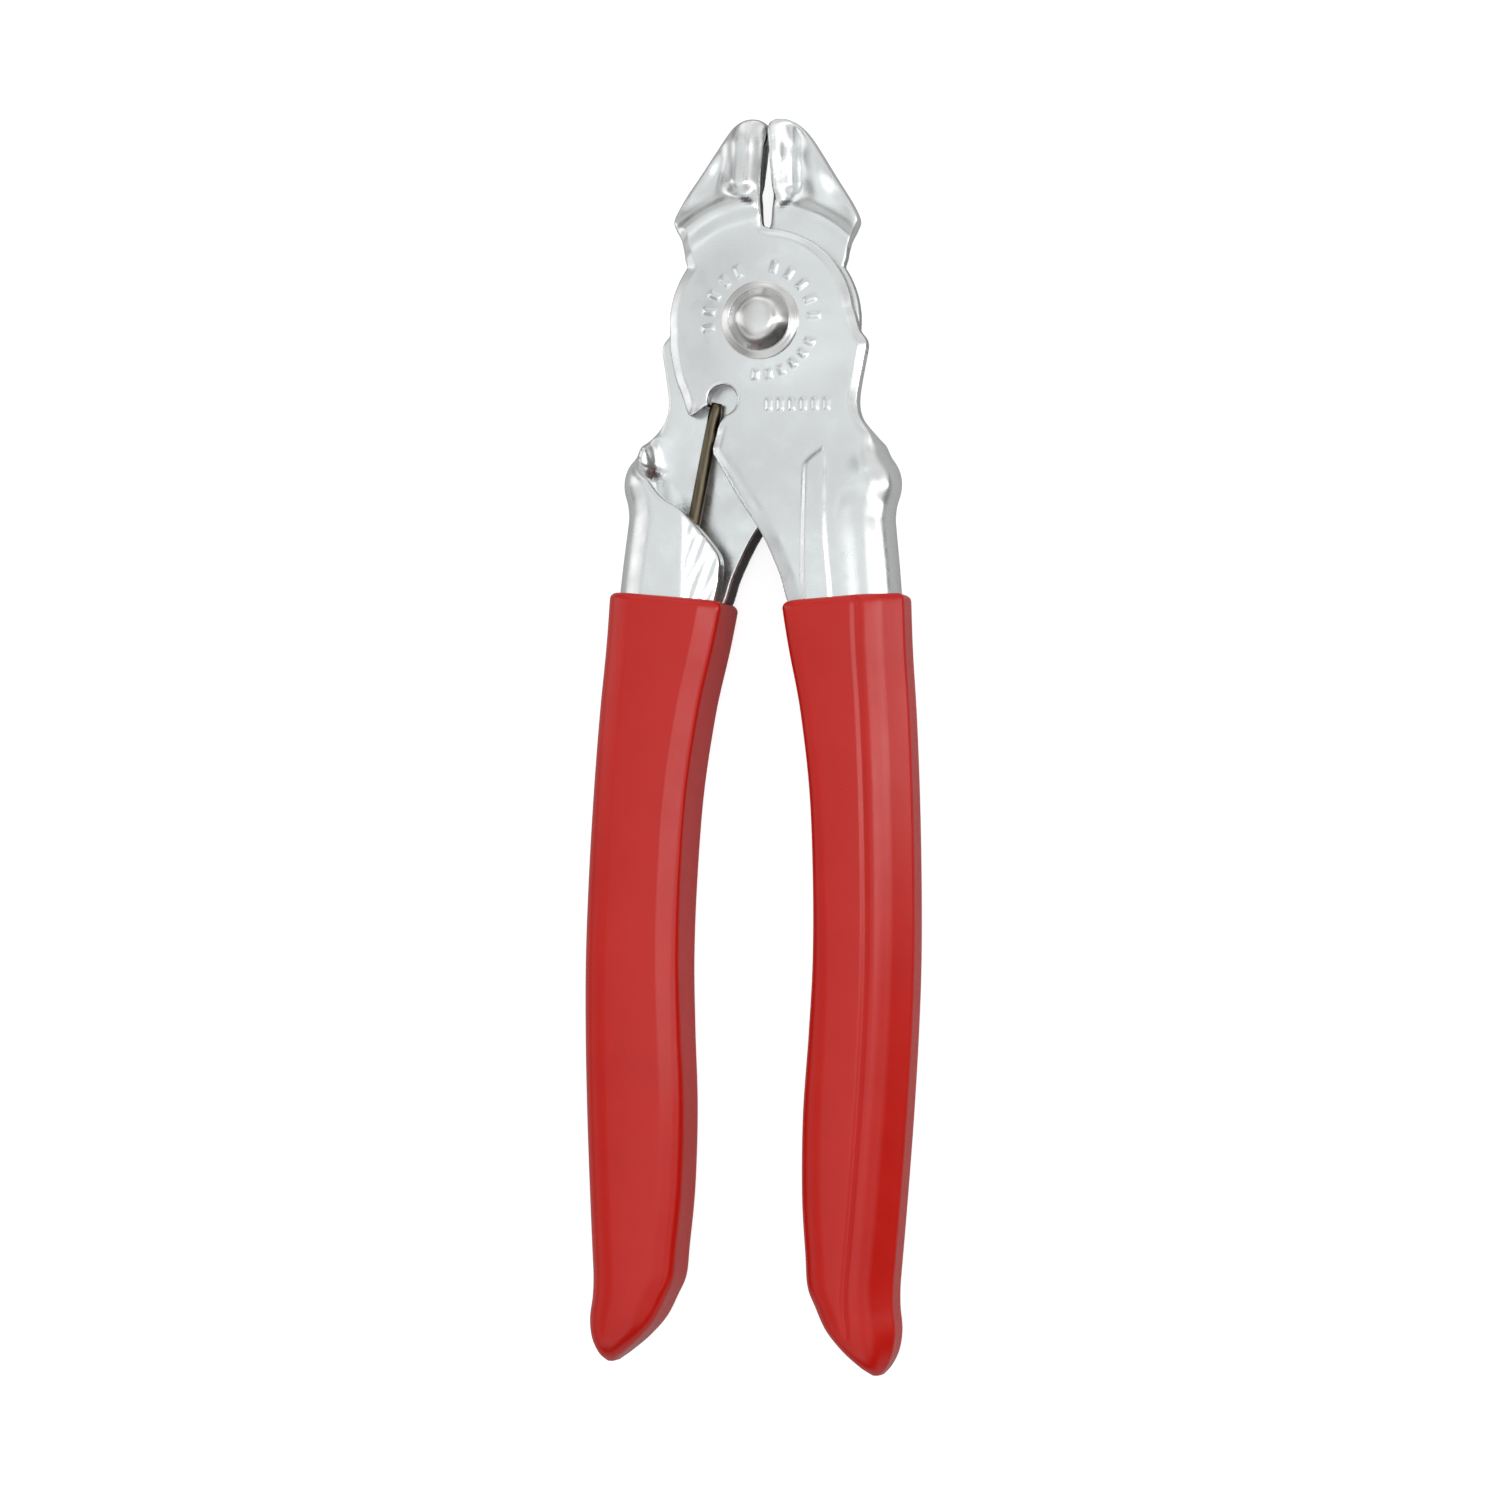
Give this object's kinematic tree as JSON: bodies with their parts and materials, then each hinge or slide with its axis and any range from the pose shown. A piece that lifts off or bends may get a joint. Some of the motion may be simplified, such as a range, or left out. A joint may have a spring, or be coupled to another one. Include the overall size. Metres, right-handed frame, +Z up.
{
  "type": "hog ring pliers",
  "caption": "Spring-closed hand pliers of stamped plated sheet, with grooved beak jaws on a riveted pivot and dipped vinyl grips.",
  "frame": {"origin": "on the pivot axis at the table plane, where the rear rivet head rests", "axes": "+Z up along the pivot axis, out of the front face; +Y towards the jaw tips; +X to the right seen from the front"},
  "size_m": [0.0514, 0.1897, 0.0124],
  "materials": {
    "plated_steel": "bright zinc plate",
    "rivet_steel": "bright zinc plate",
    "spring_steel": "bronze oxide",
    "red_vinyl": "glossy dip"
  },
  "bodies": {
    "rear_body": {"rear_lever": "plated_steel", "pivot_rivet": "rivet_steel", "front_washer": "rivet_steel", "rear_washer": "rivet_steel", "return_spring": "spring_steel", "left_grip": "red_vinyl"},
    "front_body": {"front_lever": "plated_steel", "right_grip": "red_vinyl"}
  },
  "joints": [
    {"name": "pivot", "type": "hinge", "parent": "rear_body", "child": "front_body", "pos_m": [0, 0, 0.0062], "axis": [0, 0, 1], "range_deg": [0, 26], "stiffness_Nm_per_rad": 0.5, "springref_deg": -8.59, "deforming": ["return_spring"]}
  ]
}
